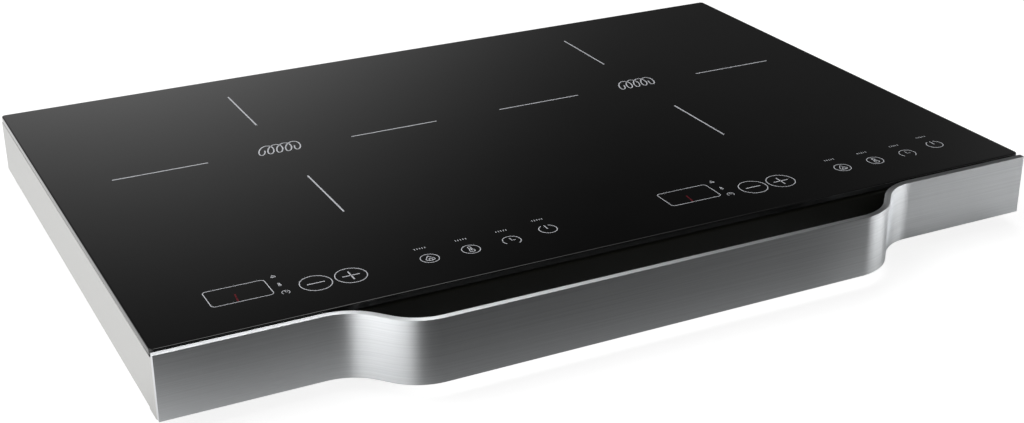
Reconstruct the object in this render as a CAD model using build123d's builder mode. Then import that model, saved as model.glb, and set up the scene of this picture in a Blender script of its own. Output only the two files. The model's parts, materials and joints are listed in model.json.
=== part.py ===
from build123d import *
from math import cos, hypot, pi, radians, sin, sqrt, tan
import os

os.makedirs("parts", exist_ok=True)

# Two-zone induction cooktop with a bent bar handle.
# Millimetres, +X right, +Y to the rear, +Z up. The origin lies under the middle of the whole
# object, on the surface that the feet stand on.

# Glass plate
GLASS_WIDTH = 600.0
GLASS_DEPTH = 394.0
GLASS_THICKNESS = 4.0
GLASS_CORNER = 3.0
GLASS_BEVEL = 0.4

# Folded sheet case: its height counts from its underside to the top of the glass
CASE_HEIGHT = 43.0
SHEET = 1.0
FLANGE = 15.0
FOLD_RADIUS = 1.5
SHEET_GAP = 0.15
FRONT_RETURN = 12.0
FRONT_FOLD_RADIUS = 3.0
REAR_INSET = 3.0
SEAL_THICKNESS = 0.5
SEAL_WIDTH = 8.0
SEAL_INSET = 2.0

# Air slots in the rear panel and under the fans
VENT_WIDTH = 3.2
VENT_HEIGHT = 22.0
VENT_PITCH = 9.0
VENT_COUNT = 12
GRILLE_WIDTH = 4.5
GRILLE_PITCH = 9.0
GRILLE_ROWS = 7

# Handle bar: the reach is how far the grip stands in front of the two end stretches
BAR_THICKNESS = 4.2
BAR_HEIGHT = 40.8
BAR_DROP = 0.7
BAR_STANDOFF = 1.2
BAR_BEVEL = 0.4
GRIP_REACH = 31.6
BEND_CENTRE_X = 173.1
BEND_ANGLE = 48.7
BEND_RADIUS = 36.0

# Weld studs and nuts that hold the bar to the front wall
STUD_DIAMETER = 5.0
STUD_LENGTH = 8.0
STUD_HOLE_GAP = 0.3
STUD_END_INSET = 20.0
STUD_BEND_INSET = 22.0
NUT_ACROSS = 8.0
NUT_HEIGHT = 4.0
THREAD_GAP = 0.05

# Feet and screws
FOOT_DROP = 7.0
FOOT_DIAMETER = 28.0
FOOT_TAPER = 8.0
FOOT_BEVEL = 1.0
FOOT_CLEAR = 20.0
FOOT_RECESS = 4.5
FOOT_RECESS_DIAMETER = 11.0
SCREW_DIAMETER = 4.0
SCREW_HEAD_DIAMETER = 8.0
SCREW_HEAD_HEIGHT = 2.0
SCREW_GRIP = 2.5
SCREW_GAP = 0.2
SIDE_SCREW_INSET = 110.0
END_SCREW_X = 205.0

# Cord gland in the rear panel
GLAND_Z = 25.0
GLAND_BORE = 8.0
GLAND_NECK = 13.0
GLAND_RIM = 18.0
GLAND_RIM_DEPTH = 2.5
GLAND_GAP = 0.05

# Cooking zones, measured from the front edge of the glass
ZONE_PITCH = 284.3
ZONE_Y = 237.6
MICA_THICKNESS = 0.8
MICA_RADIUS = 97.0
WIRE_WIDTH = 5.6
WIRE_HEIGHT = 3.0
WIRE_PITCH = 7.2
COIL_TURNS = 9
COIL_START_RADIUS = 27.0
COIL_SAMPLES = 8
FORMER_RADIUS = 97.0
FORMER_THICKNESS = 3.0
WINDOW_LENGTH = 48.0
WINDOW_WIDTH = 14.0
WINDOW_RING_RADIUS = 58.0
LEG_DIAMETER = 10.0
LEG_RING_RADIUS = 84.0
LEG_COUNT = 4
LEG_CLEAR = 1.5
FERRITE_LENGTH = 60.0
FERRITE_WIDTH = 12.0
FERRITE_HEIGHT = 5.0
FERRITE_RING_RADIUS = 57.0
FERRITE_COUNT = 8
SENSOR_DIAMETER = 20.0
SENSOR_RIM = 25.0
SENSOR_RIM_HEIGHT = 3.0
SENSOR_GAP = 0.2

# Power board under each zone; places on it count from the middle of the zone
BOARD_THICKNESS = 1.6
BOARD_WIDTH = 190.0
BOARD_DEPTH = 156.0
BOARD_SHIFT_Y = 20.0
SPACER_HEIGHT = 6.0
SPACER_ACROSS = 6.0
SPACER_INSET = 6.0
SINK_X = -25.0
SINK_WIDTH = 66.0
SINK_SHELF = 22.0
SINK_DEPTH = 90.0
SINK_BASE = 4.0
SINK_FIN = 2.0
SINK_FIN_COUNT = 11
SINK_HEADROOM = 2.2
CHIP_WIDTH = 16.0
CHIP_DEPTH = 21.0
CHIP_HEIGHT = 5.0
CHIP_PITCH = 44.0
CAPACITOR_WIDTH = 42.0
CAPACITOR_DEPTH = 20.0
CAPACITOR_HEIGHT = 14.0
CAPACITOR_CORNER = 2.0
CAPACITOR_INSET = 12.0
CAPACITOR_Y = -21.0
CAPACITOR_PITCH = 27.0
CHOKE_DIAMETER = 34.0
CHOKE_EYE = 14.0
CHOKE_HEIGHT = 12.0
CHOKE_BEVEL = 2.5
CHOKE_X = 30.0
CHOKE_Y = 72.0

# Cooling fans
FAN_SIZE = 80.0
FAN_HEIGHT = 15.0
FAN_CORNER = 4.0
FAN_WALL = 2.0
FAN_HOLE = 4.3
FAN_HOLE_INSET = 4.25
FAN_GAP_Y = 8.0
STRUT_WIDTH = 4.0
STRUT_HEIGHT = 3.0
MOTOR_DIAMETER = 30.0
BEARING_DIAMETER = 8.0
BEARING_HEIGHT = 6.0
SHAFT_DIAMETER = 3.0
SHAFT_GAP = 0.04
SHAFT_END_GAP = 0.3
HUB_DIAMETER = 32.0
HUB_WALL = 2.0
HUB_LIFT = 1.0
BLADE_COUNT = 7
BLADE_THICKNESS = 1.2
BLADE_ROOT_CHORD = 11.5
BLADE_TIP_CHORD = 17.0
BLADE_ROOT_PITCH = 48.0
BLADE_TIP_PITCH = 28.0
BLADE_TIP_GAP = 1.8

# Control boards under the key marks; key places count from the middle of a board
CONTROL_WIDTH = 236.0
CONTROL_DEPTH = 46.0
CONTROL_FRONT = 18.0
CONTROL_LEFT_INSET = 38.0
CONTROL_RIGHT_INSET = 26.0
BRACKET_FLOOR = 2.0
BRACKET_LEG = 8.0
TOUCH_LENGTH = 10.4
TOUCH_WIDTH = 8.0
STEP_KEY_X = -38.5
STEP_KEY_PITCH = 21.6
MODE_KEY_X = 62.6
MODE_KEY_PITCH = 27.1
MODE_KEY_COUNT = 4
KEY_Y = -6.7
DISPLAY_WIDTH = 37.6
DISPLAY_DEPTH = 19.0
DISPLAY_HEIGHT = 8.0
DISPLAY_X = -93.2
DISPLAY_Y = 1.2
SHADE_WALL = 2.0
LED_WIDTH = 3.0
LED_HEIGHT = 4.0
LED_X = -62.5
LED_PITCH = 11.2
LED_COUNT = 3

# Mains parts at the middle of the rear
TERMINAL_WIDTH = 44.0
TERMINAL_DEPTH = 20.0
TERMINAL_HEIGHT = 16.0
TERMINAL_INSET = 34.0
POLE_COUNT = 3
POLE_DIAMETER = 6.0
POLE_DEPTH = 5.0
FILTER_WIDTH = 56.0
FILTER_DEPTH = 74.0
FILTER_GAP_Y = 12.0
FILTER_CHOKE_SIZE = 26.0
FILTER_CHOKE_HEIGHT = 16.0
FILTER_CHOKE_Y = 15.0
FILTER_CAPACITOR_WIDTH = 30.0
FILTER_CAPACITOR_DEPTH = 13.0
FILTER_CAPACITOR_HEIGHT = 15.0
FILTER_CAPACITOR_Y = -18.0

# Side counts of the straight-sided pillars
SQUARE_SIDE_COUNT = 4
HEXAGON_SIDE_COUNT = 6

# Heights
glass_top_z = FOOT_DROP + CASE_HEIGHT
glass_under_z = glass_top_z - GLASS_THICKNESS
case_top_z = glass_under_z - SEAL_THICKNESS
case_bottom_z = FOOT_DROP
pan_bottom_z = case_bottom_z + SHEET
pan_top_z = pan_bottom_z + SHEET
coil_top_z = glass_under_z - MICA_THICKNESS
coil_bottom_z = coil_top_z - WIRE_HEIGHT
former_bottom_z = coil_bottom_z - FORMER_THICKNESS
ferrite_bottom_z = former_bottom_z - FERRITE_HEIGHT
board_bottom_z = pan_top_z + SPACER_HEIGHT
board_top_z = board_bottom_z + BOARD_THICKNESS
control_top_z = glass_under_z - TOUCH_LENGTH
control_bottom_z = control_top_z - BOARD_THICKNESS
bar_bottom_z = glass_top_z - BAR_DROP - BAR_HEIGHT

# Depths: the grip's front and the rear edge of the glass lie equally far from the origin
grip_front = BAR_STANDOFF + GRIP_REACH + BAR_THICKNESS
front_y = (grip_front - GLASS_DEPTH) / 2
rear_y = front_y + GLASS_DEPTH
wall_y = front_y - BAR_STANDOFF
rear_face_y = rear_y - REAR_INSET
zone_y = front_y + ZONE_Y
control_y = front_y + CONTROL_FRONT + CONTROL_DEPTH / 2
fan_y = control_y + CONTROL_DEPTH / 2 + FAN_GAP_Y + FAN_SIZE / 2

# Widths
side_x = GLASS_WIDTH / 2
inner_x = side_x - SHEET
zone_x = {"left": -ZONE_PITCH / 2, "right": ZONE_PITCH / 2}
control_x = {
    "left": -side_x + CONTROL_LEFT_INSET + CONTROL_WIDTH / 2,
    "right": side_x - CONTROL_RIGHT_INSET - CONTROL_WIDTH / 2,
}

# Half the slanted stretch of the bar, across the front, and the length that each bend takes up
bend_half_x = GRIP_REACH / 2 / tan(radians(BEND_ANGLE))
bend_tangent = BEND_RADIUS * tan(radians(BEND_ANGLE / 2))
stud_inner_x = BEND_CENTRE_X + bend_half_x + bend_tangent + STUD_BEND_INSET
stud_outer_x = side_x - STUD_END_INSET
stud_z = bar_bottom_z + BAR_HEIGHT / 2
stud_xs = [-stud_outer_x, -stud_inner_x, stud_inner_x, stud_outer_x]

foot_x = inner_x - FLANGE - FOOT_CLEAR - FOOT_DIAMETER / 2
foot_front_y = wall_y + FLANGE + FOOT_CLEAR + FOOT_DIAMETER / 2
foot_rear_y = rear_face_y - FLANGE - FOOT_CLEAR - FOOT_DIAMETER / 2
foot_points = [(x, y) for x in (-foot_x, foot_x) for y in (foot_front_y, foot_rear_y)]

flange_mid = SHEET + (FLANGE - SHEET) / 2
screw_hole = SCREW_DIAMETER + 2 * SCREW_GAP
side_screw_ys = (front_y + SIDE_SCREW_INSET, rear_y - SIDE_SCREW_INSET)
case_screw_points = [(x, y) for x in (flange_mid - side_x, side_x - flange_mid) for y in side_screw_ys]
case_screw_points += [(x, wall_y + flange_mid) for x in (-END_SCREW_X, END_SCREW_X)]
case_screw_points += [(x, rear_face_y - flange_mid) for x in (-END_SCREW_X, END_SCREW_X)]


def level(x, y, z):
    """Horizontal plane with its origin at a point."""
    return Plane((x, y, z))


def save(piece, name):
    """Name a finished piece and write it to its own file."""
    piece.part.label = name
    export_step(piece.part, f"parts/{name}.step")


def folded_channel(plane, length, start_setback=0.0, end_setback=0.0):
    """Sheet folded to a C, with the case screws' holes in its lower flange.

    The plane's x runs inwards from the outer face, its y runs up and the sheet runs along its z.
    The setbacks shorten both flanges at the start and at the end of the run.
    """
    web = case_top_z - case_bottom_z
    with BuildPart() as channel:
        with BuildSketch(plane):
            with BuildLine():
                FilletPolyline((FLANGE, 0), (0, 0), (0, web), (FLANGE, web), radius=FOLD_RADIUS)
                offset(amount=SHEET, side=Side.RIGHT)
            make_face()
        extrude(amount=length)
        for start, run in ((0, start_setback), (length - end_setback, end_setback)):
            if run:
                with BuildSketch(plane.offset(start)):
                    with Locations((SHEET + FLANGE / 2, web / 2)):
                        Rectangle(FLANGE, 2 * web)
                extrude(amount=run, mode=Mode.SUBTRACT)
        with BuildSketch(level(0, 0, case_bottom_z)):
            with Locations(*case_screw_points):
                Circle(screw_hole / 2)
        extrude(amount=SHEET, mode=Mode.SUBTRACT)
    return channel


def screws(points, seat_z, length):
    """Pan-head screws that point up, with the shoulder of each head at the seat's height."""
    with BuildPart() as group:
        with BuildSketch(level(0, 0, seat_z)):
            with Locations(*points):
                Circle(SCREW_HEAD_DIAMETER / 2)
        extrude(amount=-SCREW_HEAD_HEIGHT)
        with BuildSketch(level(0, 0, seat_z)):
            with Locations(*points):
                Circle(SCREW_DIAMETER / 2)
        extrude(amount=length)
    return group


def pillars(points, bottom_z, top_z, across, sides):
    """Straight-sided pillars between two heights, with their size across the flats."""
    with BuildPart() as group:
        with BuildSketch(level(0, 0, bottom_z)):
            with Locations(*points):
                RegularPolygon(across / 2, sides, major_radius=False, rotation=180 / sides)
        extrude(amount=top_z - bottom_z)
    return group


def corner_points(x, y, width, depth, inset):
    """Four points set in from the corners of a rectangle about a middle point."""
    half_x = width / 2 - inset
    half_y = depth / 2 - inset
    return [(x + sx * half_x, y + sy * half_y) for sx in (-1, 1) for sy in (-1, 1)]


# Glass plate and its seal
with BuildPart() as glass_top:
    with BuildSketch(level(0, (front_y + rear_y) / 2, glass_under_z)):
        RectangleRounded(GLASS_WIDTH, GLASS_DEPTH, GLASS_CORNER)
    extrude(amount=GLASS_THICKNESS)
    chamfer(glass_top.faces().sort_by(Axis.Z)[-1].edges(), GLASS_BEVEL)
save(glass_top, "glass_top")

seal_width = GLASS_WIDTH - 2 * SEAL_INSET
seal_depth = rear_face_y - front_y - 2 * SEAL_INSET
with BuildPart() as glass_seal:
    with BuildSketch(level(0, (front_y + rear_face_y) / 2, case_top_z)):
        Rectangle(seal_width, seal_depth)
        Rectangle(seal_width - 2 * SEAL_WIDTH, seal_depth - 2 * SEAL_WIDTH, mode=Mode.SUBTRACT)
    extrude(amount=SEAL_THICKNESS)
save(glass_seal, "glass_seal")

# Handle bar: the line of its back face, with each bend's radius counted from the bar's middle
outer_bend = BEND_RADIUS + BAR_THICKNESS / 2
inner_bend = BEND_RADIUS - BAR_THICKNESS / 2
bar_right_half = [
    (BEND_CENTRE_X - bend_half_x, -GRIP_REACH),
    (BEND_CENTRE_X + bend_half_x, 0),
    (side_x, 0),
]
bar_left_half = [(-x, y) for x, y in reversed(bar_right_half)]
with BuildPart() as handle_bar:
    with BuildSketch(level(0, wall_y, bar_bottom_z)):
        with BuildLine():
            FilletPolyline(
                *bar_left_half, *bar_right_half, radius=[outer_bend, inner_bend, inner_bend, outer_bend]
            )
            offset(amount=BAR_THICKNESS, side=Side.RIGHT)
        make_face()
    extrude(amount=BAR_HEIGHT)
    for rim in (handle_bar.faces().sort_by(Axis.Z)[0], handle_bar.faces().sort_by(Axis.Z)[-1]):
        chamfer(rim.edges(), BAR_BEVEL)
save(handle_bar, "handle_bar")

stud_plane = Plane((0, wall_y, stud_z), x_dir=(1, 0, 0), z_dir=(0, 1, 0))
stud_places = [(x, 0) for x in stud_xs]
with BuildPart() as bar_studs:
    with BuildSketch(stud_plane):
        with Locations(*stud_places):
            Circle(STUD_DIAMETER / 2)
    extrude(amount=STUD_LENGTH)
save(bar_studs, "bar_studs")

with BuildPart() as bar_nuts:
    with BuildSketch(stud_plane.offset(SHEET)):
        with Locations(*stud_places):
            RegularPolygon(NUT_ACROSS / 2, 6, major_radius=False)
            Circle(STUD_DIAMETER / 2 + THREAD_GAP, mode=Mode.SUBTRACT)
    extrude(amount=NUT_HEIGHT)
save(bar_nuts, "bar_nuts")

# Side panels run from the rear edge of the glass to the bar, where their front edges turn inwards
fold_y = wall_y + FLANGE + SHEET_GAP
rear_setback = REAR_INSET + FLANGE + SHEET_GAP


def side_panel(sign, start_y, start_setback, end_setback, inside):
    """Side sheet with two flanges, and a front edge folded in behind the bar."""
    run = Plane((sign * side_x, start_y, case_bottom_z), x_dir=(-sign, 0, 0), z_dir=(0, sign, 0))
    with BuildPart() as panel:
        add(folded_channel(run, rear_y - fold_y, start_setback, end_setback).part)
        with BuildSketch(level(0, 0, case_bottom_z)):
            with BuildLine():
                FilletPolyline(
                    (sign * side_x, fold_y),
                    (sign * side_x, wall_y),
                    (sign * (side_x - FRONT_RETURN), wall_y),
                    radius=FRONT_FOLD_RADIUS,
                )
                offset(amount=SHEET, side=inside)
            make_face()
        extrude(amount=case_top_z - case_bottom_z)
    return panel


left_side_panel = side_panel(-1, rear_y, rear_setback, 0, Side.LEFT)
save(left_side_panel, "left_side_panel")

right_side_panel = side_panel(1, fold_y, 0, rear_setback, Side.RIGHT)
save(right_side_panel, "right_side_panel")

# Front wall and rear panel stand between the side panels
front_half = side_x - FRONT_RETURN - SHEET_GAP
end_half = inner_x - SHEET_GAP
with BuildPart() as front_wall:
    add(
        folded_channel(
            Plane((-front_half, wall_y, case_bottom_z), x_dir=(0, 1, 0), z_dir=(1, 0, 0)), 2 * front_half
        ).part
    )
    with BuildSketch(stud_plane):
        with Locations(*stud_places):
            Circle(STUD_DIAMETER / 2 + STUD_HOLE_GAP)
    extrude(amount=SHEET, mode=Mode.SUBTRACT)
save(front_wall, "front_wall")

vent_z = (case_bottom_z + case_top_z) / 2
rear_plane = Plane((0, rear_face_y, 0), x_dir=(1, 0, 0), z_dir=(0, -1, 0))
with BuildPart() as rear_panel:
    add(
        folded_channel(
            Plane((end_half, rear_face_y, case_bottom_z), x_dir=(0, -1, 0), z_dir=(-1, 0, 0)), 2 * end_half
        ).part
    )
    with BuildSketch(rear_plane):
        for x in zone_x.values():
            with Locations((x, vent_z)):
                with GridLocations(VENT_PITCH, VENT_PITCH, VENT_COUNT, 1):
                    Rectangle(VENT_WIDTH, VENT_HEIGHT)
        with Locations((0, GLAND_Z)):
            Circle(GLAND_NECK / 2 + GLAND_GAP)
    extrude(amount=SHEET, mode=Mode.SUBTRACT)
save(rear_panel, "rear_panel")

# Rubber bush: a rim on each face of the sheet, joined by a neck through the hole
with BuildPart() as cord_gland:
    for start, run, diameter in (
        (-GLAND_RIM_DEPTH, GLAND_RIM_DEPTH, GLAND_RIM),
        (0, SHEET, GLAND_NECK),
        (SHEET, GLAND_RIM_DEPTH, GLAND_RIM),
    ):
        with BuildSketch(rear_plane.offset(start)):
            with Locations((0, GLAND_Z)):
                Circle(diameter / 2)
                Circle(GLAND_BORE / 2, mode=Mode.SUBTRACT)
        extrude(amount=run)
save(cord_gland, "cord_gland")

# Floor sheet: it lies on the lower flanges, clear of the insides of their folds
pan_gap = max(FOLD_RADIUS, FRONT_FOLD_RADIUS) - SHEET + SHEET_GAP
pan_front_y = wall_y + SHEET + pan_gap
pan_rear_y = rear_face_y - SHEET - pan_gap
fan_bore = FAN_SIZE / 2 - FAN_WALL
fan_x = {side: zone_x[side] + SINK_X for side in zone_x}
with BuildPart() as base_pan:
    with BuildSketch(level(0, (pan_front_y + pan_rear_y) / 2, pan_bottom_z)):
        Rectangle(2 * (inner_x - pan_gap), pan_rear_y - pan_front_y)
    extrude(amount=SHEET)
    with BuildSketch(level(0, 0, pan_bottom_z)):
        for x in fan_x.values():
            for row in range(GRILLE_ROWS):
                rise = (row - (GRILLE_ROWS - 1) / 2) * GRILLE_PITCH
                chord = 2 * sqrt(fan_bore**2 - rise**2)
                with Locations((x, fan_y + rise)):
                    Rectangle(chord - GRILLE_WIDTH, GRILLE_WIDTH)
        with Locations(*case_screw_points, *foot_points):
            Circle(screw_hole / 2)
    extrude(amount=SHEET, mode=Mode.SUBTRACT)
save(base_pan, "base_pan")

# Rubber feet, each with a screw sunk into its underside
with BuildPart() as feet:
    with BuildSketch(level(0, 0, pan_bottom_z)):
        with Locations(*foot_points):
            Circle(FOOT_DIAMETER / 2)
    extrude(amount=-pan_bottom_z, taper=FOOT_TAPER)
    chamfer(feet.edges().group_by(Axis.Z)[0], FOOT_BEVEL)
    for radius, depth in ((FOOT_RECESS_DIAMETER / 2, FOOT_RECESS), (screw_hole / 2, pan_bottom_z)):
        with BuildSketch(level(0, 0, 0)):
            with Locations(*foot_points):
                Circle(radius)
        extrude(amount=depth, mode=Mode.SUBTRACT)
save(feet, "feet")

foot_screws = screws(foot_points, FOOT_RECESS, pan_top_z + SCREW_GRIP - FOOT_RECESS)
save(foot_screws, "foot_screws")

case_screws = screws(case_screw_points, case_bottom_z, pan_top_z + SCREW_GRIP - case_bottom_z)
save(case_screws, "case_screws")


# Coil: half circles about two centres half a pitch apart, so that each turn lies one pitch further out
def coil_edge(half_turns, outwards):
    """Point of the winding's edge after a count of half turns, set off from the wire's middle."""
    index = int(half_turns)
    radius = COIL_START_RADIUS + index * WIRE_PITCH / 2 + outwards
    angle = pi * half_turns
    return (index % 2) * WIRE_PITCH / 2 + radius * cos(angle), radius * sin(angle)


def coil_gap():
    """Least distance between one turn's outer edge and the next turn's inner edge."""
    steps = [step / COIL_SAMPLES for step in range(COIL_SAMPLES * 2 * (COIL_TURNS - 1))]
    pairs = [(coil_edge(s, WIRE_WIDTH / 2), coil_edge(s + 2, -WIRE_WIDTH / 2)) for s in steps]
    return min(hypot(a[0] - b[0], a[1] - b[1]) for a, b in pairs)


print(f"least gap between coil turns: {coil_gap():.2f} mm")


def zone_coil(x):
    """Flat spiral winding of one zone, one unbroken run."""
    with BuildPart() as coil:
        with BuildSketch(level(x, zone_y, coil_bottom_z)):
            with BuildLine():
                for half_turn in range(2 * COIL_TURNS):
                    centre = ((half_turn % 2) * WIRE_PITCH / 2, 0)
                    radius = COIL_START_RADIUS + half_turn * WIRE_PITCH / 2
                    for outwards in (-WIRE_WIDTH / 2, WIRE_WIDTH / 2):
                        CenterArc(centre, radius + outwards, 180 * (half_turn % 2), 180)
                for turns in (0, 2 * COIL_TURNS):
                    radius = COIL_START_RADIUS + turns * WIRE_PITCH / 2
                    Line((radius - WIRE_WIDTH / 2, 0), (radius + WIRE_WIDTH / 2, 0))
            make_face()
        extrude(amount=WIRE_HEIGHT)
    return coil


def zone_former(x):
    """Plastic carrier of the coil: a windowed disc on legs that stand on the floor sheet."""
    half_step = 180 / FERRITE_COUNT
    with BuildPart() as former:
        with BuildSketch(level(x, zone_y, former_bottom_z)):
            Circle(FORMER_RADIUS)
            Circle(SENSOR_DIAMETER / 2 + SENSOR_GAP, mode=Mode.SUBTRACT)
            with PolarLocations(WINDOW_RING_RADIUS, LEG_COUNT, start_angle=3 * half_step):
                SlotOverall(WINDOW_LENGTH, WINDOW_WIDTH, mode=Mode.SUBTRACT)
        extrude(amount=FORMER_THICKNESS)
        with BuildSketch(level(x, zone_y, pan_top_z)):
            with PolarLocations(LEG_RING_RADIUS, LEG_COUNT, start_angle=half_step):
                Circle(LEG_DIAMETER / 2)
        extrude(amount=former_bottom_z - pan_top_z)
    return former


def zone_ferrites(x):
    """Ferrite bars in a star under the coil's carrier."""
    with BuildPart() as ferrites:
        with BuildSketch(level(x, zone_y, former_bottom_z)):
            with PolarLocations(FERRITE_RING_RADIUS, FERRITE_COUNT):
                Rectangle(FERRITE_LENGTH, FERRITE_WIDTH)
        extrude(amount=-FERRITE_HEIGHT)
    return ferrites


def zone_mica(x):
    """Insulating sheet between the coil and the glass, open over the heat sensor."""
    with BuildPart() as mica:
        with BuildSketch(level(x, zone_y, coil_top_z)):
            Circle(MICA_RADIUS)
            Circle(SENSOR_DIAMETER / 2 + SENSOR_GAP, mode=Mode.SUBTRACT)
        extrude(amount=MICA_THICKNESS)
    return mica


def zone_sensor(x):
    """Heat sensor pressed against the glass through the middle of the coil."""
    with BuildPart() as sensor:
        with BuildSketch(level(x, zone_y, former_bottom_z)):
            Circle(SENSOR_RIM / 2)
        extrude(amount=-SENSOR_RIM_HEIGHT)
        with BuildSketch(level(x, zone_y, former_bottom_z)):
            Circle(SENSOR_DIAMETER / 2)
        extrude(amount=glass_under_z - former_bottom_z)
    return sensor


def power_board(x):
    """Circuit board with round clearances for the legs of the coil's carrier."""
    with BuildPart() as board:
        with BuildSketch(level(x, zone_y, board_bottom_z)):
            with Locations((0, BOARD_SHIFT_Y)):
                Rectangle(BOARD_WIDTH, BOARD_DEPTH)
            with PolarLocations(LEG_RING_RADIUS, LEG_COUNT, start_angle=180 / FERRITE_COUNT):
                Circle(LEG_DIAMETER / 2 + LEG_CLEAR, mode=Mode.SUBTRACT)
        extrude(amount=BOARD_THICKNESS)
    return board


def heat_sink(x):
    """Finned extrusion that lies in the fan's draught, with a bare shelf for the power chips."""
    fin_pitch = (SINK_WIDTH - SINK_FIN) / (SINK_FIN_COUNT - 1)
    fin_height = ferrite_bottom_z - SINK_HEADROOM - board_top_z
    section = Plane((x + SINK_X, zone_y + SINK_DEPTH / 2, board_top_z), x_dir=(1, 0, 0), z_dir=(0, -1, 0))
    with BuildPart() as sink:
        with BuildSketch(section):
            with Locations((SINK_SHELF / 2, SINK_BASE / 2)):
                Rectangle(SINK_WIDTH + SINK_SHELF, SINK_BASE)
            with Locations((0, fin_height / 2)):
                with GridLocations(fin_pitch, fin_pitch, SINK_FIN_COUNT, 1):
                    Rectangle(SINK_FIN, fin_height)
        extrude(amount=SINK_DEPTH)
    return sink


def power_chips(x):
    """Rectifier and switching transistor, flat on the heat sink's shelf."""
    with BuildPart() as chips:
        with BuildSketch(level(x + SINK_X + (SINK_WIDTH + SINK_SHELF) / 2, zone_y, board_top_z + SINK_BASE)):
            with GridLocations(CHIP_PITCH, CHIP_PITCH, 1, 2):
                Rectangle(CHIP_WIDTH, CHIP_DEPTH)
        extrude(amount=CHIP_HEIGHT)
    return chips


def capacitors(x):
    """Two boxed film capacitors side by side on the power board."""
    place_x = x + (BOARD_WIDTH - CAPACITOR_WIDTH) / 2 - CAPACITOR_INSET
    with BuildPart() as pair:
        with BuildSketch(level(place_x, zone_y + CAPACITOR_Y, board_top_z)):
            with GridLocations(CAPACITOR_PITCH, CAPACITOR_PITCH, 1, 2):
                RectangleRounded(CAPACITOR_WIDTH, CAPACITOR_DEPTH, CAPACITOR_CORNER)
        extrude(amount=CAPACITOR_HEIGHT)
    return pair


def choke(x):
    """Wound ring choke, bevelled where the winding rounds the core."""
    with BuildPart() as ring:
        with BuildSketch(level(x + CHOKE_X, zone_y + CHOKE_Y, board_top_z)):
            Circle(CHOKE_DIAMETER / 2)
            Circle(CHOKE_EYE / 2, mode=Mode.SUBTRACT)
        extrude(amount=CHOKE_HEIGHT)
        chamfer(ring.faces().sort_by(Axis.Z)[-1].edges(), CHOKE_BEVEL)
    return ring


strut_top_z = pan_top_z + STRUT_HEIGHT
bearing_top_z = strut_top_z + BEARING_HEIGHT
bearing_floor_z = pan_top_z + SHEET


def fan_frame(x):
    """Square fan housing whose struts carry the motor plate and the shaft's bearing tube."""
    strut_start = BEARING_DIAMETER / 2
    strut_end = fan_bore + FAN_WALL / 2
    hole_pitch = FAN_SIZE - 2 * FAN_HOLE_INSET
    with BuildPart() as frame:
        with BuildSketch(level(x, fan_y, pan_top_z)):
            RectangleRounded(FAN_SIZE, FAN_SIZE, FAN_CORNER)
            Circle(fan_bore, mode=Mode.SUBTRACT)
            with GridLocations(hole_pitch, hole_pitch, 2, 2):
                Circle(FAN_HOLE / 2, mode=Mode.SUBTRACT)
        extrude(amount=FAN_HEIGHT)
        with BuildSketch(level(x, fan_y, pan_top_z)):
            Circle(MOTOR_DIAMETER / 2)
            with PolarLocations((strut_start + strut_end) / 2, 4, start_angle=45):
                Rectangle(strut_end - strut_start, STRUT_WIDTH)
        extrude(amount=STRUT_HEIGHT)
        with BuildSketch(level(x, fan_y, strut_top_z)):
            Circle(BEARING_DIAMETER / 2)
        extrude(amount=BEARING_HEIGHT)
        with BuildSketch(level(x, fan_y, bearing_floor_z)):
            Circle(SHAFT_DIAMETER / 2 + SHAFT_GAP)
        extrude(amount=bearing_top_z - bearing_floor_z, mode=Mode.SUBTRACT)
    return frame


def fan_rotor(x):
    """Fan wheel: a hub cup on its shaft, with twisted blades that widen towards their tips."""
    hub_bottom_z = strut_top_z + HUB_LIFT
    hub_top_z = pan_top_z + FAN_HEIGHT - HUB_LIFT
    hub_mid_z = (hub_bottom_z + hub_top_z) / 2
    blade_root = (HUB_DIAMETER - HUB_WALL) / 2
    blade_tip = fan_bore - BLADE_TIP_GAP
    with BuildPart() as rotor:
        with BuildSketch(level(x, fan_y, hub_bottom_z)):
            Circle(HUB_DIAMETER / 2)
        extrude(amount=hub_top_z - hub_bottom_z)
        with BuildSketch(level(x, fan_y, hub_bottom_z)):
            Circle(HUB_DIAMETER / 2 - HUB_WALL)
        extrude(amount=hub_top_z - HUB_WALL - hub_bottom_z, mode=Mode.SUBTRACT)
        with BuildSketch(level(x, fan_y, bearing_floor_z + SHAFT_END_GAP)):
            Circle(SHAFT_DIAMETER / 2)
        extrude(amount=hub_top_z - HUB_WALL - bearing_floor_z - SHAFT_END_GAP)
        for blade in range(BLADE_COUNT):
            turn = 2 * pi * blade / BLADE_COUNT
            outward = Vector(cos(turn), sin(turn), 0)
            along = Vector(-sin(turn), cos(turn), 0)
            middle = Vector(x, fan_y, hub_mid_z)
            with BuildSketch(Plane(middle + outward * blade_root, x_dir=along, z_dir=outward)):
                Rectangle(BLADE_ROOT_CHORD, BLADE_THICKNESS, rotation=BLADE_ROOT_PITCH)
            with BuildSketch(Plane(middle + outward * blade_tip, x_dir=along, z_dir=outward)):
                Rectangle(BLADE_TIP_CHORD, BLADE_THICKNESS, rotation=BLADE_TIP_PITCH)
            loft()
    return rotor


def control_bracket(x):
    """Moulded carrier on legs that holds a control board below the glass."""
    floor_bottom_z = control_bottom_z - BRACKET_FLOOR
    with BuildPart() as bracket:
        with BuildSketch(level(x, control_y, floor_bottom_z)):
            Rectangle(CONTROL_WIDTH, CONTROL_DEPTH)
        extrude(amount=BRACKET_FLOOR)
        with BuildSketch(level(x, control_y, pan_top_z)):
            with GridLocations((CONTROL_WIDTH - BRACKET_LEG) / 2, CONTROL_DEPTH - BRACKET_LEG, 3, 2):
                Rectangle(BRACKET_LEG, BRACKET_LEG)
        extrude(amount=floor_bottom_z - pan_top_z)
    return bracket


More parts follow.
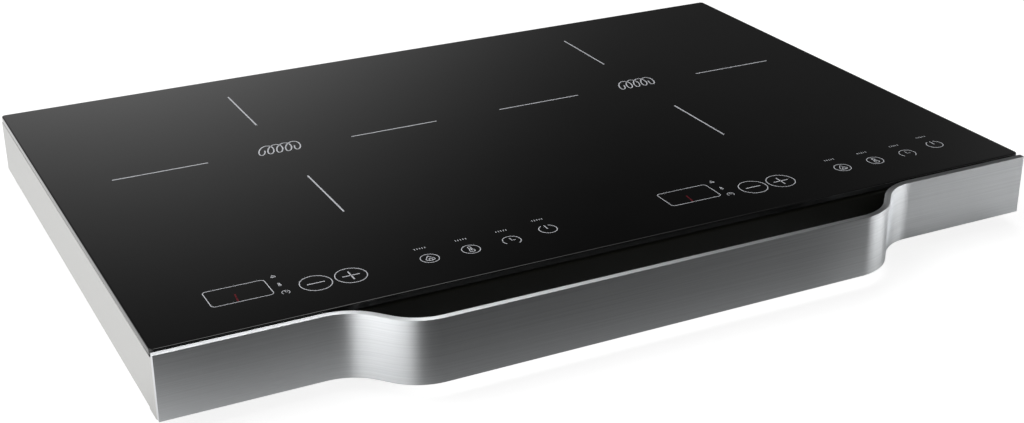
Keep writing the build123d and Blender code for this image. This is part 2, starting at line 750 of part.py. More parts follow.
def control_board(x):
    """Touch-key circuit board."""
    with BuildPart() as board:
        with BuildSketch(level(x, control_y, control_bottom_z)):
            Rectangle(CONTROL_WIDTH, CONTROL_DEPTH)
        extrude(amount=BOARD_THICKNESS)
    return board


def display(x):
    """Digit display block on the control board."""
    with BuildPart() as block:
        with BuildSketch(level(x + DISPLAY_X, control_y + DISPLAY_Y, control_top_z)):
            Rectangle(DISPLAY_WIDTH, DISPLAY_DEPTH)
        extrude(amount=DISPLAY_HEIGHT)
    return block


def display_shade(x):
    """Foam frame that keeps stray light out between the display and the glass."""
    with BuildPart() as shade:
        with BuildSketch(level(x + DISPLAY_X, control_y + DISPLAY_Y, control_top_z + DISPLAY_HEIGHT)):
            Rectangle(DISPLAY_WIDTH, DISPLAY_DEPTH)
            Rectangle(DISPLAY_WIDTH - 2 * SHADE_WALL, DISPLAY_DEPTH - 2 * SHADE_WALL, mode=Mode.SUBTRACT)
        extrude(amount=TOUCH_LENGTH - DISPLAY_HEIGHT)
    return shade


def touch_pads(x):
    """Conductive pillars from the control board up to the glass, one under each key."""
    key_xs = [STEP_KEY_X + side * STEP_KEY_PITCH / 2 for side in (-1, 1)]
    mode_start = MODE_KEY_X - MODE_KEY_PITCH * (MODE_KEY_COUNT - 1) / 2
    key_xs += [mode_start + key * MODE_KEY_PITCH for key in range(MODE_KEY_COUNT)]
    points = [(x + key, control_y + KEY_Y) for key in key_xs]
    return pillars(points, control_top_z, glass_under_z, TOUCH_WIDTH, SQUARE_SIDE_COUNT)


def mode_leds(x):
    """Lamps beside the display, one for each kind of setting."""
    start = DISPLAY_Y - LED_PITCH * (LED_COUNT - 1) / 2
    points = [(x + LED_X, control_y + start + lamp * LED_PITCH) for lamp in range(LED_COUNT)]
    return pillars(points, control_top_z, control_top_z + LED_HEIGHT, LED_WIDTH, SQUARE_SIDE_COUNT)


def board_spacers(x):
    """Hexagonal pillars at the corners of a power board."""
    points = corner_points(x, zone_y + BOARD_SHIFT_Y, BOARD_WIDTH, BOARD_DEPTH, SPACER_INSET)
    return pillars(points, pan_top_z, board_bottom_z, SPACER_ACROSS, HEXAGON_SIDE_COUNT)


zone_pieces = {
    "mica_sheet": zone_mica,
    "coil": zone_coil,
    "coil_former": zone_former,
    "ferrite_bars": zone_ferrites,
    "heat_sensor": zone_sensor,
    "power_board": power_board,
    "board_spacers": board_spacers,
    "heat_sink": heat_sink,
    "power_chips": power_chips,
    "capacitors": capacitors,
    "choke": choke,
}
fan_pieces = {"fan_frame": fan_frame, "fan_rotor": fan_rotor}
control_pieces = {
    "control_bracket": control_bracket,
    "control_board": control_board,
    "display": display,
    "display_shade": display_shade,
    "touch_pads": touch_pads,
    "mode_leds": mode_leds,
}
for pieces, place in ((zone_pieces, zone_x), (fan_pieces, fan_x), (control_pieces, control_x)):
    for side, x in place.items():
        for name, make in pieces.items():
            save(make(x), f"{side}_{name}")

# Mains parts on the floor sheet, in front of the gland
terminal_y = rear_face_y - TERMINAL_INSET
with BuildPart() as terminal_block:
    with BuildSketch(level(0, terminal_y, pan_top_z)):
        Rectangle(TERMINAL_WIDTH, TERMINAL_DEPTH)
    extrude(amount=TERMINAL_HEIGHT)
    with BuildSketch(level(0, terminal_y, pan_top_z + TERMINAL_HEIGHT)):
        with GridLocations(TERMINAL_WIDTH / POLE_COUNT, TERMINAL_DEPTH / 2, POLE_COUNT, 2):
            Circle(POLE_DIAMETER / 2)
    extrude(amount=-POLE_DEPTH, mode=Mode.SUBTRACT)
save(terminal_block, "terminal_block")

filter_y = terminal_y - TERMINAL_DEPTH / 2 - FILTER_GAP_Y - FILTER_DEPTH / 2
filter_spacers = pillars(
    corner_points(0, filter_y, FILTER_WIDTH, FILTER_DEPTH, SPACER_INSET),
    pan_top_z,
    board_bottom_z,
    SPACER_ACROSS,
    HEXAGON_SIDE_COUNT,
)
save(filter_spacers, "filter_spacers")

with BuildPart() as filter_board:
    with BuildSketch(level(0, filter_y, board_bottom_z)):
        Rectangle(FILTER_WIDTH, FILTER_DEPTH)
    extrude(amount=BOARD_THICKNESS)
save(filter_board, "filter_board")

with BuildPart() as filter_choke:
    with BuildSketch(level(0, filter_y + FILTER_CHOKE_Y, board_top_z)):
        RectangleRounded(FILTER_CHOKE_SIZE, FILTER_CHOKE_SIZE, CAPACITOR_CORNER)
    extrude(amount=FILTER_CHOKE_HEIGHT)
save(filter_choke, "filter_choke")

with BuildPart() as filter_capacitor:
    with BuildSketch(level(0, filter_y + FILTER_CAPACITOR_Y, board_top_z)):
        RectangleRounded(FILTER_CAPACITOR_WIDTH, FILTER_CAPACITOR_DEPTH, CAPACITOR_CORNER)
    extrude(amount=FILTER_CAPACITOR_HEIGHT)
save(filter_capacitor, "filter_capacitor")
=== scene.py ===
"""Studio scene of a two-zone induction cooktop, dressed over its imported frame.

Lengths are metres in the frame's own axes: +X to the user's right, +Y to the rear, +Z up. Only the print on
the glass is laid out in millimetres.
"""

import json
import logging
import math
from dataclasses import dataclass, field
from enum import Enum
from functools import cache

import bpy
import numpy as np
from mathutils import Matrix, Vector


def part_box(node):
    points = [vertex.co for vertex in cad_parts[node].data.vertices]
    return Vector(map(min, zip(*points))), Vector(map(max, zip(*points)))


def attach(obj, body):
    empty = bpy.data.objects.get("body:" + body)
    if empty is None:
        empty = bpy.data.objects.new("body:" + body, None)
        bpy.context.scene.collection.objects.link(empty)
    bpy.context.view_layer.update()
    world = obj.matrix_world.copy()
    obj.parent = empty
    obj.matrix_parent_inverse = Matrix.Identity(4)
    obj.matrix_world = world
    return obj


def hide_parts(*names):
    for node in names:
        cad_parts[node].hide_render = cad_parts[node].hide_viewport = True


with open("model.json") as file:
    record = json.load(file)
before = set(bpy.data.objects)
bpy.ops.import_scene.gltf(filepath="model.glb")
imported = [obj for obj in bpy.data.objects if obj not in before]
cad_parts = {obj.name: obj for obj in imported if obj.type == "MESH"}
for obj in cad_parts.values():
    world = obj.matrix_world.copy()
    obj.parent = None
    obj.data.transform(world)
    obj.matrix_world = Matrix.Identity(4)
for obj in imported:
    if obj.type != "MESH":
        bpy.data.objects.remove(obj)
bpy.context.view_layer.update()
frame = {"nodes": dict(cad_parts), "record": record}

log = logging.getLogger("cooktop")

MM = 0.001
SURFACE_UV = "surface"
SHARP_ANGLE = math.radians(32)
CASE_BODY = "case"
# Gap between printed tracks, in the pattern's own units.
TRACK_GAP = 0.06
# Layout of the print in millimetres: the zones' distance from the middle, and the step between key groups.
ZONE_X = 142.1
KEY_GROUP_PITCH = 300.7

Colour = tuple[float, float, float]
Triple = tuple[float, float, float]
Pair = tuple[float, float]


class Pattern(Enum):
    """Ways in which a finish varies over its surface."""

    NOISE = "cloudy or fine even grain"
    CELLS = "crystals or flakes"
    BANDS = "wound strands"
    TRACKS = "printed tracks"


class Coordinates(Enum):
    """What a finish's pattern is laid out on."""

    OBJECT = "the frame's own axes"
    SURFACE = "the piece's own UV map, across the profile and along the path"


@dataclass(frozen=True)
class Finish:
    """One surface finish, from which a material is made once and then shared.

    The pattern gives a factor from 0 to 1 at each point. The factor mixes the two colours, moves the
    roughness between its two limits and lifts the surface for the bump.
    """

    name: str
    colour: Colour
    second: Colour
    roughness: Pair
    metallic: float = 0.0
    pattern: Pattern = Pattern.NOISE
    coordinates: Coordinates = Coordinates.OBJECT
    cells_per_metre: Triple = (900.0, 900.0, 900.0)
    detail: float = 3.0
    contrast: Pair = (0.3, 0.7)
    bump: float = 0.0
    bump_depth: float = 0.05 * MM
    anisotropy: float = 0.0
    anisotropy_turn: float = 0.0
    specular: float = 0.5
    edge_tint: float = 1.0
    ior: float = 1.5
    coat: float = 0.0
    glow: float = 0.0

    def _texture(self, tree: bpy.types.NodeTree, place: bpy.types.NodeSocket) -> bpy.types.NodeSocket:
        """Add the pattern's texture node.

        Args:
            tree: The material's nodes.
            place: The scaled coordinates that the pattern reads.

        Returns:
            The pattern's factor.
        """
        kind = {
            Pattern.NOISE: "ShaderNodeTexNoise",
            Pattern.CELLS: "ShaderNodeTexVoronoi",
            Pattern.BANDS: "ShaderNodeTexWave",
            Pattern.TRACKS: "ShaderNodeTexBrick",
        }[self.pattern]
        node = tree.nodes.new(kind)
        tree.links.new(place, node.inputs["Vector"])
        node.inputs["Scale"].default_value = 1.0
        if self.pattern is Pattern.TRACKS:
            node.inputs["Mortar Size"].default_value = TRACK_GAP
            return node.outputs["Fac"]
        if self.pattern is Pattern.CELLS:
            return node.outputs["Color"]
        node.inputs["Detail"].default_value = self.detail
        return node.outputs["Fac"]

    @cache
    def material(self) -> bpy.types.Material:
        """Make the material on first use, and hand out the same one after that.

        Returns:
            The material.
        """
        material = bpy.data.materials.new(self.name + "_finish")
        material.use_nodes = True
        tree = material.node_tree
        shader = tree.nodes["Principled BSDF"]
        if self.coordinates is Coordinates.SURFACE:
            source = tree.nodes.new("ShaderNodeUVMap")
            source.uv_map = SURFACE_UV
            place = source.outputs["UV"]
        else:
            place = tree.nodes.new("ShaderNodeTexCoord").outputs["Object"]
        mapping = tree.nodes.new("ShaderNodeMapping")
        mapping.inputs["Scale"].default_value = self.cells_per_metre
        tree.links.new(place, mapping.inputs["Vector"])
        factor = self._texture(tree, mapping.outputs["Vector"])

        spread = tree.nodes.new("ShaderNodeMapRange")
        spread.inputs["From Min"].default_value = self.contrast[0]
        spread.inputs["From Max"].default_value = self.contrast[1]
        tree.links.new(factor, spread.inputs["Value"])
        mix = tree.nodes.new("ShaderNodeMix")
        mix.data_type = "RGBA"
        mix.inputs["A"].default_value = (*self.colour, 1.0)
        mix.inputs["B"].default_value = (*self.second, 1.0)
        tree.links.new(spread.outputs["Result"], mix.inputs["Factor"])
        tree.links.new(mix.outputs["Result"], shader.inputs["Base Color"])
        rough = tree.nodes.new("ShaderNodeMapRange")
        rough.inputs["To Min"].default_value = self.roughness[0]
        rough.inputs["To Max"].default_value = self.roughness[1]
        tree.links.new(spread.outputs["Result"], rough.inputs["Value"])
        tree.links.new(rough.outputs["Result"], shader.inputs["Roughness"])
        if self.bump:
            bump = tree.nodes.new("ShaderNodeBump")
            bump.inputs["Strength"].default_value = self.bump
            bump.inputs["Distance"].default_value = self.bump_depth
            tree.links.new(spread.outputs["Result"], bump.inputs["Height"])
            tree.links.new(bump.outputs["Normal"], shader.inputs["Normal"])
        if self.anisotropy:
            tangent = tree.nodes.new("ShaderNodeTangent")
            if self.coordinates is Coordinates.SURFACE:
                tangent.direction_type = "UV_MAP"
                tangent.uv_map = SURFACE_UV
            else:
                tangent.direction_type = "RADIAL"
                tangent.axis = "Z"
            tree.links.new(tangent.outputs["Tangent"], shader.inputs["Tangent"])
        for socket, value in (
            ("Metallic", self.metallic),
            ("Anisotropic", self.anisotropy),
            ("Anisotropic Rotation", self.anisotropy_turn),
            ("Specular IOR Level", self.specular),
            ("IOR", self.ior),
            ("Coat Weight", self.coat),
            ("Emission Strength", self.glow),
        ):
            shader.inputs[socket].default_value = value
        shader.inputs["Specular Tint"].default_value = (self.edge_tint,) * 3 + (1.0,)
        shader.inputs["Emission Color"].default_value = (*self.colour, 1.0)
        return material


FINISHES: dict[str, Finish] = {
    "black_glass": Finish(
        "black_glass", (0.0008, 0.0008, 0.0008), (0.0014, 0.0014, 0.0014), (0.02, 0.05),
        cells_per_metre=(18.0, 18.0, 18.0), ior=1.52,
    ),
    "brushed_bar": Finish(
        "brushed_bar", (0.655, 0.672, 0.685), (0.775, 0.793, 0.808), (0.30, 0.37), metallic=1.0,
        coordinates=Coordinates.SURFACE, cells_per_metre=(1000.0, 7.0, 1.0), detail=4.0,
        bump=0.06, bump_depth=0.02 * MM, anisotropy=1.0,
    ),
    "satin_steel": Finish(
        "satin_steel", (0.57, 0.57, 0.555), (0.62, 0.62, 0.605), (0.28, 0.34), metallic=1.0,
        cells_per_metre=(60.0, 6.0, 2600.0), detail=3.0, bump=0.05, bump_depth=0.02 * MM,
        anisotropy=0.45, anisotropy_turn=0.25, edge_tint=0.80,
    ),
    "black_sheet": Finish(
        "black_sheet", (0.007, 0.007, 0.005), (0.011, 0.011, 0.008), (0.38, 0.50),
        cells_per_metre=(1400.0, 1400.0, 1400.0), bump=0.25, bump_depth=0.03 * MM, specular=0.2,
    ),
    "galvanised_sheet": Finish(
        "galvanised_sheet", (0.47, 0.485, 0.50), (0.54, 0.555, 0.565), (0.36, 0.41), metallic=1.0,
        pattern=Pattern.CELLS, cells_per_metre=(140.0, 140.0, 140.0), contrast=(0.0, 1.0),
        bump=0.03,
    ),
    "plated_steel": Finish(
        "plated_steel", (0.58, 0.58, 0.56), (0.68, 0.67, 0.62), (0.22, 0.34), metallic=1.0,
        cells_per_metre=(500.0, 500.0, 500.0), bump=0.05,
    ),
    "black_rubber": Finish(
        "black_rubber", (0.016, 0.016, 0.016), (0.026, 0.026, 0.026), (0.62, 0.80),
        cells_per_metre=(1800.0, 1800.0, 1800.0), bump=0.35,
    ),
    "silicone": Finish(
        "silicone", (0.030, 0.030, 0.030), (0.042, 0.042, 0.042), (0.50, 0.62),
        cells_per_metre=(700.0, 700.0, 700.0), bump=0.15,
    ),
    "foam": Finish(
        "foam", (0.020, 0.020, 0.020), (0.050, 0.050, 0.050), (0.80, 0.95),
        pattern=Pattern.CELLS, cells_per_metre=(2200.0, 2200.0, 2200.0), bump=0.5,
    ),
    "white_plastic": Finish(
        "white_plastic", (0.70, 0.70, 0.66), (0.76, 0.76, 0.72), (0.38, 0.48),
        cells_per_metre=(900.0, 900.0, 900.0), bump=0.1,
    ),
    "brown_plastic": Finish(
        "brown_plastic", (0.13, 0.07, 0.04), (0.18, 0.10, 0.06), (0.42, 0.55),
        cells_per_metre=(700.0, 700.0, 700.0), bump=0.15,
    ),
    "black_plastic": Finish(
        "black_plastic", (0.022, 0.022, 0.022), (0.034, 0.034, 0.034), (0.40, 0.52),
        cells_per_metre=(1100.0, 1100.0, 1100.0), bump=0.15,
    ),
    "lamp_plastic": Finish(
        "lamp_plastic", (0.45, 0.04, 0.03), (0.60, 0.07, 0.05), (0.12, 0.20), coat=0.4,
    ),
    "circuit_board": Finish(
        "circuit_board", (0.022, 0.13, 0.065), (0.05, 0.24, 0.12), (0.30, 0.42),
        pattern=Pattern.TRACKS, cells_per_metre=(160.0, 240.0, 160.0), contrast=(0.0, 1.0),
        bump=0.2,
    ),
    "copper_winding": Finish(
        "copper_winding", (0.42, 0.18, 0.08), (0.72, 0.38, 0.20), (0.28, 0.45), metallic=1.0,
        pattern=Pattern.BANDS, cells_per_metre=(320.0, 320.0, 320.0), contrast=(0.0, 1.0), bump=0.4,
    ),
    "yellow_film": Finish(
        "yellow_film", (0.55, 0.40, 0.08), (0.66, 0.50, 0.12), (0.22, 0.32), coat=0.3,
    ),
    "ferrite": Finish(
        "ferrite", (0.040, 0.040, 0.044), (0.070, 0.070, 0.076), (0.55, 0.72),
        cells_per_metre=(1600.0, 1600.0, 1600.0), bump=0.2,
    ),
    "mica": Finish(
        "mica", (0.46, 0.41, 0.31), (0.62, 0.57, 0.46), (0.30, 0.55),
        pattern=Pattern.CELLS, cells_per_metre=(320.0, 320.0, 320.0), contrast=(0.0, 1.0),
    ),
    "aluminium": Finish(
        "aluminium", (0.68, 0.69, 0.70), (0.78, 0.79, 0.80), (0.28, 0.40), metallic=1.0,
        cells_per_metre=(1200.0, 25.0, 1200.0), bump=0.1,
    ),
}

INK = Finish(
    "grey_ink", (0.46, 0.47, 0.50), (0.54, 0.55, 0.58), (0.45, 0.60),
    cells_per_metre=(1500.0, 1500.0, 1500.0),
)
LIT_DIGIT = Finish(
    "lit_digit", (0.060, 0.003, 0.006), (0.070, 0.004, 0.008), (0.40, 0.50), specular=0.05, glow=0.4,
)


@dataclass
class Shape:
    """Points and faces of one piece while it is put together from closed skins."""

    points: list[np.ndarray] = field(default_factory=list)
    quads: list[np.ndarray] = field(default_factory=list)
    ends: list[list[int]] = field(default_factory=list)
    quad_uvs: list[np.ndarray] = field(default_factory=list)
    end_uvs: list[np.ndarray] = field(default_factory=list)
    count: int = 0

    def skin(self, rings: np.ndarray, closed: bool = False) -> None:
        """Add a closed solid, given as rings of points along a path.

        Neighbouring points are joined by quads, and each ring closes on itself. The faces are turned
        outwards by the sign of the enclosed volume, which is the sum of the triple products of each
        face's corners over six. The UV map holds the distance round the ring and along the path.

        Args:
            rings: An array of rings by points by three coordinates.
            closed: True where the last ring joins the first, and otherwise both ends get a face.
        """
        rows, columns = rings.shape[:2]
        flat = rings.reshape(-1, 3)
        next_row = np.roll(np.arange(rows), -1)[: rows if closed else rows - 1]
        row = np.arange(len(next_row))[:, None]
        column = np.arange(columns)[None, :]
        next_column = np.roll(np.arange(columns), -1)[None, :]
        index = np.stack(
            [
                row * columns + column,
                next_row[:, None] * columns + column,
                next_row[:, None] * columns + next_column,
                row * columns + next_column,
            ],
            axis=-1,
        ).reshape(-1, 4)
        first, last = list(range(columns)), list(range((rows - 1) * columns, rows * columns))
        ends = [] if closed else [first, last[::-1]]
        corner = flat[index]
        volume = np.einsum("ij,ij->", corner[:, 0], np.cross(corner[:, 1], corner[:, 2]))
        volume += np.einsum("ij,ij->", corner[:, 0], np.cross(corner[:, 2], corner[:, 3]))
        for end in ends:
            fan = flat[end]
            volume += np.sum(np.cross(fan[1:-1], fan[2:]) @ fan[0])

        ring_step = np.linalg.norm(np.roll(rings, -1, axis=1) - rings, axis=2).mean(axis=0)
        round_at = np.concatenate([[0.0], np.cumsum(ring_step)])
        path_step = np.linalg.norm(np.roll(rings, -1, axis=0) - rings, axis=2).mean(axis=1)
        along_at = np.concatenate([[0.0], np.cumsum(path_step)])
        u0, v0 = np.meshgrid(round_at[:-1], along_at[: len(next_row)])
        u1, v1 = np.meshgrid(round_at[1:], along_at[1 : len(next_row) + 1])
        uv = np.stack([u0, v0, u0, v1, u1, v1, u1, v0], axis=-1).reshape(-1, 4, 2)
        if volume < 0:
            index, uv = index[:, ::-1], uv[:, ::-1]
            ends = [end[::-1] for end in ends]
        self.points.append(flat)
        self.quads.append(index + self.count)
        self.quad_uvs.append(uv.reshape(-1, 2))
        for end in ends:
            self.ends.append([i + self.count for i in end])
            flattest = np.ptp(flat[end], axis=0).argmin()
            self.end_uvs.append(np.delete(flat[end], flattest, axis=1))
        self.count += len(flat)

    def piece(
        self,
        name: str,
        finish: Finish,
        body: str = CASE_BODY,
        replaces: tuple[str, ...] = (),
        slot: str = "",
    ) -> bpy.types.Object:
        """Make the object, let it ride on its body and dress it.

        Args:
            name: The piece's name.
            finish: Its surface finish.
            body: The body that it moves with.
            replaces: The CAD nodes that it stands for.
            slot: Not used.

        Returns:
            The new object.
        """
        mesh = bpy.data.meshes.new(name)
        faces = np.concatenate(self.quads).tolist() + self.ends
        mesh.from_pydata(np.concatenate(self.points).tolist(), [], faces)
        uv_layer = mesh.uv_layers.new(name=SURFACE_UV)
        uv_layer.data.foreach_set("uv", np.concatenate(self.quad_uvs + self.end_uvs).ravel())
        mesh.polygons.foreach_set("use_smooth", np.ones(len(faces), dtype=bool))
        mesh.set_sharp_from_angle(angle=SHARP_ANGLE)
        mesh.materials.append(finish.material())
        piece = bpy.data.objects.new(name, mesh)
        bpy.context.scene.collection.objects.link(piece)
        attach(piece, body)
        if replaces:
            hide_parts(*replaces)
        log.info("%s: %d faces", name, len(faces))
        return piece


def arc(centre: Pair, radius: float, start: float, end: float, steps: int) -> np.ndarray:
    """Points of a circle's arc: the centre plus the radius times the cosine and sine of the angle.

    Args:
        centre: The circle's centre.
        radius: The circle's radius.
        start: The first angle in degrees.
        end: The last angle in degrees.
        steps: How many points there are.

    Returns:
        An array of points by two coordinates.
    """
    angle = np.radians(np.linspace(start, end, steps))
    return np.asarray(centre) + radius * np.stack([np.cos(angle), np.sin(angle)], axis=-1)


def rounded_box(width: float, height: float, radius: float, steps: int) -> np.ndarray:
    """Closed outline of a rectangle about the origin, each corner a quarter circle of points.

    Args:
        width: The size along the first coordinate.
        height: The size along the second coordinate.
        radius: The corners' radius.
        steps: How many points a corner has.

    Returns:
        An array of points by two coordinates.
    """
    x, y = width / 2 - radius, height / 2 - radius
    corners = ((x, y), (-x, y), (-x, -y), (x, -y))
    return np.concatenate(
        [arc(corner, radius, 90 * turn, 90 * turn + 90, steps) for turn, corner in enumerate(corners)]
    )


def lathe(profile: np.ndarray, centre: Triple, axis: int, steps: int) -> np.ndarray:
    """Rings of a turned form: each profile point's radius goes round the axis at its height.

    Args:
        profile: An array of points by radius and height.
        centre: The origin of the profile in the frame.
        axis: The coordinate that the axis lies along, 0 to 2.
        steps: How many points a ring has.

    Returns:
        An array of rings by points by three coordinates.
    """
    angle = np.linspace(0, 2 * np.pi, steps, endpoint=False)
    radius, height = profile[:, :1], profile[:, 1:]
    rings = np.empty((len(profile), steps, 3))
    rings[..., (axis + 1) % 3] = radius * np.cos(angle)
    rings[..., (axis + 2) % 3] = radius * np.sin(angle)
    rings[..., axis] = height
    return rings + np.asarray(centre)


@dataclass
class HandleBar:
    """Flat steel bar across the front, bent forward in the middle as the handle."""

    thickness: float = 4.2 * MM
    bend_centre: float = 173.1 * MM
    bend_angle: float = math.radians(48.7)
    bend_radius: float = 36.0 * MM
    edge_radius: float = 0.55 * MM
    edge_steps: int = 6
    bend_steps: int = 36
    straight_steps: int = 10

    def path(self, low: Vector, high: Vector) -> tuple[np.ndarray, np.ndarray]:
        """Middle line of the bar seen from above.

        The line is a chain of straight stretches and arcs. On a stretch the heading changes by the
        curvature times the distance, and the point moves by the integral of the heading's cosine and
        sine.

        Args:
            low: The lowest corner of the bar's box.
            high: The highest corner of the bar's box.

        Returns:
            The points along the line, and the heading at each.
        """
        reach = high.y - low.y - self.thickness
        centre = self.bend_centre + self.thickness / 2 * math.tan(self.bend_angle / 2)
        half = reach / 2 / math.tan(self.bend_angle)
        tangent = self.bend_radius * math.tan(self.bend_angle / 2)
        end = high.x - centre - half - tangent
        slant = reach / math.sin(self.bend_angle) - 2 * tangent
        grip = 2 * (centre - half - tangent)
        bend = self.bend_radius * self.bend_angle
        curve = 1 / self.bend_radius
        stretches = (
            (end, 0.0), (bend, -curve), (slant, 0.0), (bend, curve), (grip, 0.0),
            (bend, curve), (slant, 0.0), (bend, -curve), (end, 0.0),
        )
        start = np.array([low.x, high.y - self.thickness / 2])
        heading = 0.0
        points, headings = [start[None]], [np.zeros(1)]
        for length, curvature in stretches:
            steps = self.bend_steps if curvature else self.straight_steps
            run = np.linspace(0, length, steps + 1)[1:]
            turned = heading + curvature * run
            if curvature:
                step = np.stack([np.sin(turned) - np.sin(heading), np.cos(heading) - np.cos(turned)], -1)
                step /= curvature
            else:
                step = run[:, None] * np.array([math.cos(heading), math.sin(heading)])
            points.append(start + step)
            headings.append(turned)
            start, heading = points[-1][-1], float(turned[-1])
        return np.concatenate(points), np.concatenate(headings)

    def build(self) -> None:
        """Carry the rounded section along the bar's middle line."""
        low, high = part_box("handle_bar")
        line, heading = self.path(low, high)
        section = rounded_box(self.thickness, high.z - low.z, self.edge_radius, self.edge_steps)
        sideways = np.stack([-np.sin(heading), np.cos(heading)], axis=-1)
        rings = np.empty((len(line), len(section), 3))
        rings[..., :2] = line[:, None] + sideways[:, None] * section[None, :, :1]
        rings[..., 2] = section[None, :, 1] + (low.z + high.z) / 2
        shape = Shape()
        shape.skin(rings)
        shape.piece(
            "steel_handle_bar", FINISHES["brushed_bar"], replaces=("handle_bar",), slot="brushed_bar"
        )


@dataclass
class GlassPlate:
    """Black ceramic glass with a polished edge."""

    corner: float = 3.0 * MM
    bevel: float = 0.7 * MM
    under_bevel: float = 0.3 * MM
    margin: float = 0.6 * MM
    corner_steps: int = 10
    bevel_steps: int = 6

    def build(self) -> None:
        """Stack rings of one rounded outline: each ring is drawn in by the edge profile's inset."""
        low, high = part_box("glass_top")
        edge = arc((self.bevel, -self.bevel), self.bevel, 180, 90, self.bevel_steps)
        profile = np.concatenate(
            [
                [[self.under_bevel, low.z], [0.0, low.z + self.under_bevel]],
                edge + [0.0, high.z],
                [[self.bevel + self.margin, high.z]],
            ]
        )
        middle = (low + high) / 2
        inner = rounded_box(high.x - low.x, high.y - low.y, self.corner, self.corner_steps)
        quarters = [np.linspace(start, start + 90, self.corner_steps) for start in (0, 90, 180, 270)]
        angle = np.radians(np.concatenate(quarters))
        outward = np.stack([np.cos(angle), np.sin(angle)], axis=-1)
        rings = np.empty((len(profile), len(inner), 3))
        rings[..., :2] = inner - outward * profile[:, :1, None] + np.array(middle[:2])
        rings[..., 2] = profile[:, 1:]
        shape = Shape()
        shape.skin(rings)
        shape.piece("glass_plate", FINISHES["black_glass"], replaces=("glass_top",), slot="black_glass")


@dataclass
class Print:
    """Screen-printed strokes on the glass, gathered into one piece."""

    left: float
    front: float
    top: float
    sunk: float = 0.01 * MM
    raised: float = 0.03 * MM
    ring_steps: int = 64
    shape: Shape = field(default_factory=Shape)

    def stroke(self, path: np.ndarray, width: float, closed: bool = False) -> None:
        """Add one stroke of even width.

        The path's side direction is its tangent turned by a right angle, and the stroke's four edges
        lie half a width to either side, just under and just over the glass.

        Args:
            path: Points by two coordinates in millimetres from the print's origin.
            width: The stroke's width in millimetres.
            closed: True where the path is a loop.
        """
        if closed:
            tangent = np.roll(path, -1, axis=0) - np.roll(path, 1, axis=0)
        else:
            tangent = np.gradient(path, axis=0)
        tangent /= np.linalg.norm(tangent, axis=1, keepdims=True)
        side = np.stack([-tangent[:, 1], tangent[:, 0]], axis=-1) * width / 2
        edges = np.stack([path + side, path + side, path - side, path - side], axis=1) * MM
        heights = self.top + np.array([-self.sunk, self.raised, self.raised, -self.sunk])
        rings = np.concatenate([edges, np.broadcast_to(heights[:, None], (len(path), 4, 1))], axis=2)
        self.shape.skin(rings + np.array([self.left, self.front, 0.0]), closed)

    def line(self, start: Pair, end: Pair, width: float) -> None:
        """Add a straight stroke."""
        self.stroke(np.array([start, end], dtype=float), width)

    def ring(self, centre: Pair, radius: float, width: float) -> None:
        """Add a full circle."""
        self.stroke(arc(centre, radius, 0, 360, self.ring_steps + 1)[:-1], width, closed=True)


@dataclass
class ZoneMark:
    """Crosshair round the middle of one cooking zone, with a coil sign in it (millimetres)."""

    name: str
    x: float
    y: float = 237.6
    arm_start: float = 51.8
    arm_end: float = 117.0
    arm_width: float = 1.1
    loops: int = 4
    loop_pitch: float = 6.4
    loop_radius: float = 3.6
    loop_height: float = 7.6
    loop_lean: float = 0.3
    loop_y: float = 3.0
    loop_tail: float = 0.25
    loop_steps: int = 48
    sign_width: float = 0.9

    def build(self, sheet: Print) -> None:
        """Draw the four arms and the coil sign.

        The sign is a looping curve: it advances evenly with the angle, less a radius times the angle's
        sine, rises and falls with its cosine, and leans forward with its height.

        Args:
            sheet: The print that takes the strokes.
        """
        for turn in range(4):
            way = np.array([math.cos(turn * math.pi / 2), math.sin(turn * math.pi / 2)])
            middle = np.array([self.x, self.y])
            sheet.line(middle + way * self.arm_start, middle + way * self.arm_end, self.arm_width)
        steps = self.loop_steps * self.loops
        angle = np.linspace(-self.loop_tail, self.loops + self.loop_tail, steps) * 2 * np.pi
        rise = -self.loop_height * np.cos(angle)
        along = self.loop_pitch * (angle / (2 * np.pi) - self.loops / 2)
        along += self.loop_lean * rise - self.loop_radius * np.sin(angle)
        path = np.stack([self.x + along, self.y + self.loop_y + rise], axis=-1)
        sheet.stroke(path, self.sign_width)
        sheet.shape.piece(self.name, INK)


class Sign(Enum):
    """Signs inside the round keys of one group, from left to right."""

    FLAME = "heat"
    THERMOMETER = "temperature"
    CLOCK = "timer"
    POWER = "on and off"


@dataclass(frozen=True)
class SignForm:
    """Sizes of the signs where they fit a key.

    Lengths are millimetres and sweeps degrees. The flame's width, the power bar's widening and the small
    stroke are factors.
    """

    flame_width: float = 1.25
    flame_drops: tuple[Pair, Pair] = ((3.3, 0.3), (1.5, -1.2))
    flame_steps: int = 41
    bulb_y: float = -1.9
    bulb_radius: float = 1.7
    bulb_sweep: Pair = (122.0, 418.0)
    bulb_steps: int = 22
    tip_y: float = 2.8
    tip_radius: float = 0.9
    tip_steps: int = 10
    mercury_y: float = 1.6
    long_hand: float = 3.4
    short_hand: float = 2.6
    hand_overlap: float = 0.25
    clock_sweep: Pair = (-60.0, 215.0)
    clock_steps: int = 48
    small_clock_radius: float = 4.6
    small_clock_steps: int = 40
    power_bar: Pair = (0.4, 5.6)
    power_bar_widening: float = 1.3
    power_sweep: Pair = (115.0, 425.0)
    power_steps: int = 54
    small_stroke: float = 0.8


